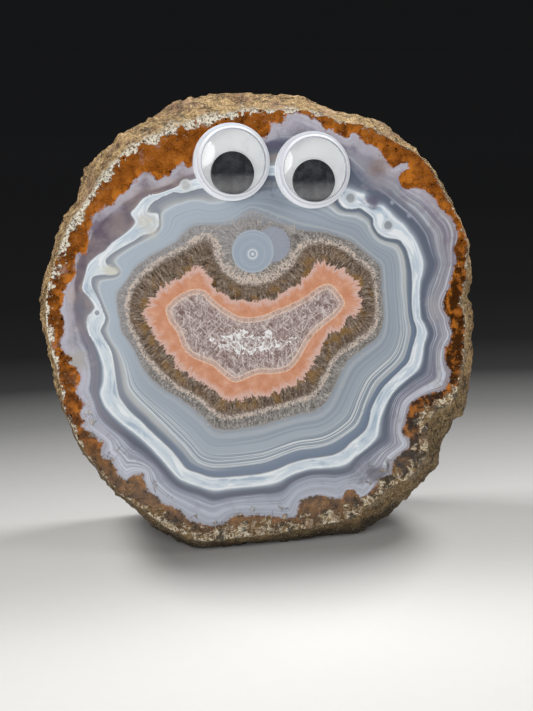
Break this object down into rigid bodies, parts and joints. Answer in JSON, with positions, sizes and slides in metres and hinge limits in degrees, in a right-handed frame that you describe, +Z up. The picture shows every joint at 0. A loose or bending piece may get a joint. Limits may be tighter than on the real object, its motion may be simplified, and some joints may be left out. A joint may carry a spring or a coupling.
{
  "type": "agate slice",
  "caption": "Thick polished agate slice standing on its rim and leaning back, with googly eyes stuck near the top and a banded, smiling centre.",
  "frame": {"origin": "middle of the bounding box's footprint, on the flat base", "axes": "+Z up, +X to the right of someone who looks at the polished face, polished face towards -Y and leaning back 8 degrees"},
  "size_m": [0.1176, 0.0528, 0.1183],
  "materials": {
    "agate": "face polished, rind rough, back sawn",
    "eye_white": "glossy white",
    "eye_clear": "thin clear plastic",
    "eye_black": "satin black"
  },
  "bodies": {
    "stone": {"agate_slice": "agate", "left_eye_back": "eye_white", "right_eye_back": "eye_white", "left_eye_case": "eye_clear", "right_eye_case": "eye_clear"},
    "left_pupil": {"left_eye_pupil": "eye_black"},
    "right_pupil": {"right_eye_pupil": "eye_black"}
  },
  "joints": [
    {"name": "left_pupil_roll", "type": "hinge", "parent": "stone", "child": "left_pupil", "pos_m": [-0.0099, -0.0143, 0.10171], "axis": [0, -0.9903, 0.1392], "continuous": true},
    {"name": "right_pupil_roll", "type": "hinge", "parent": "stone", "child": "right_pupil", "pos_m": [0.0116, -0.01465, 0.09924], "axis": [0, -0.9903, 0.1392], "continuous": true}
  ]
}
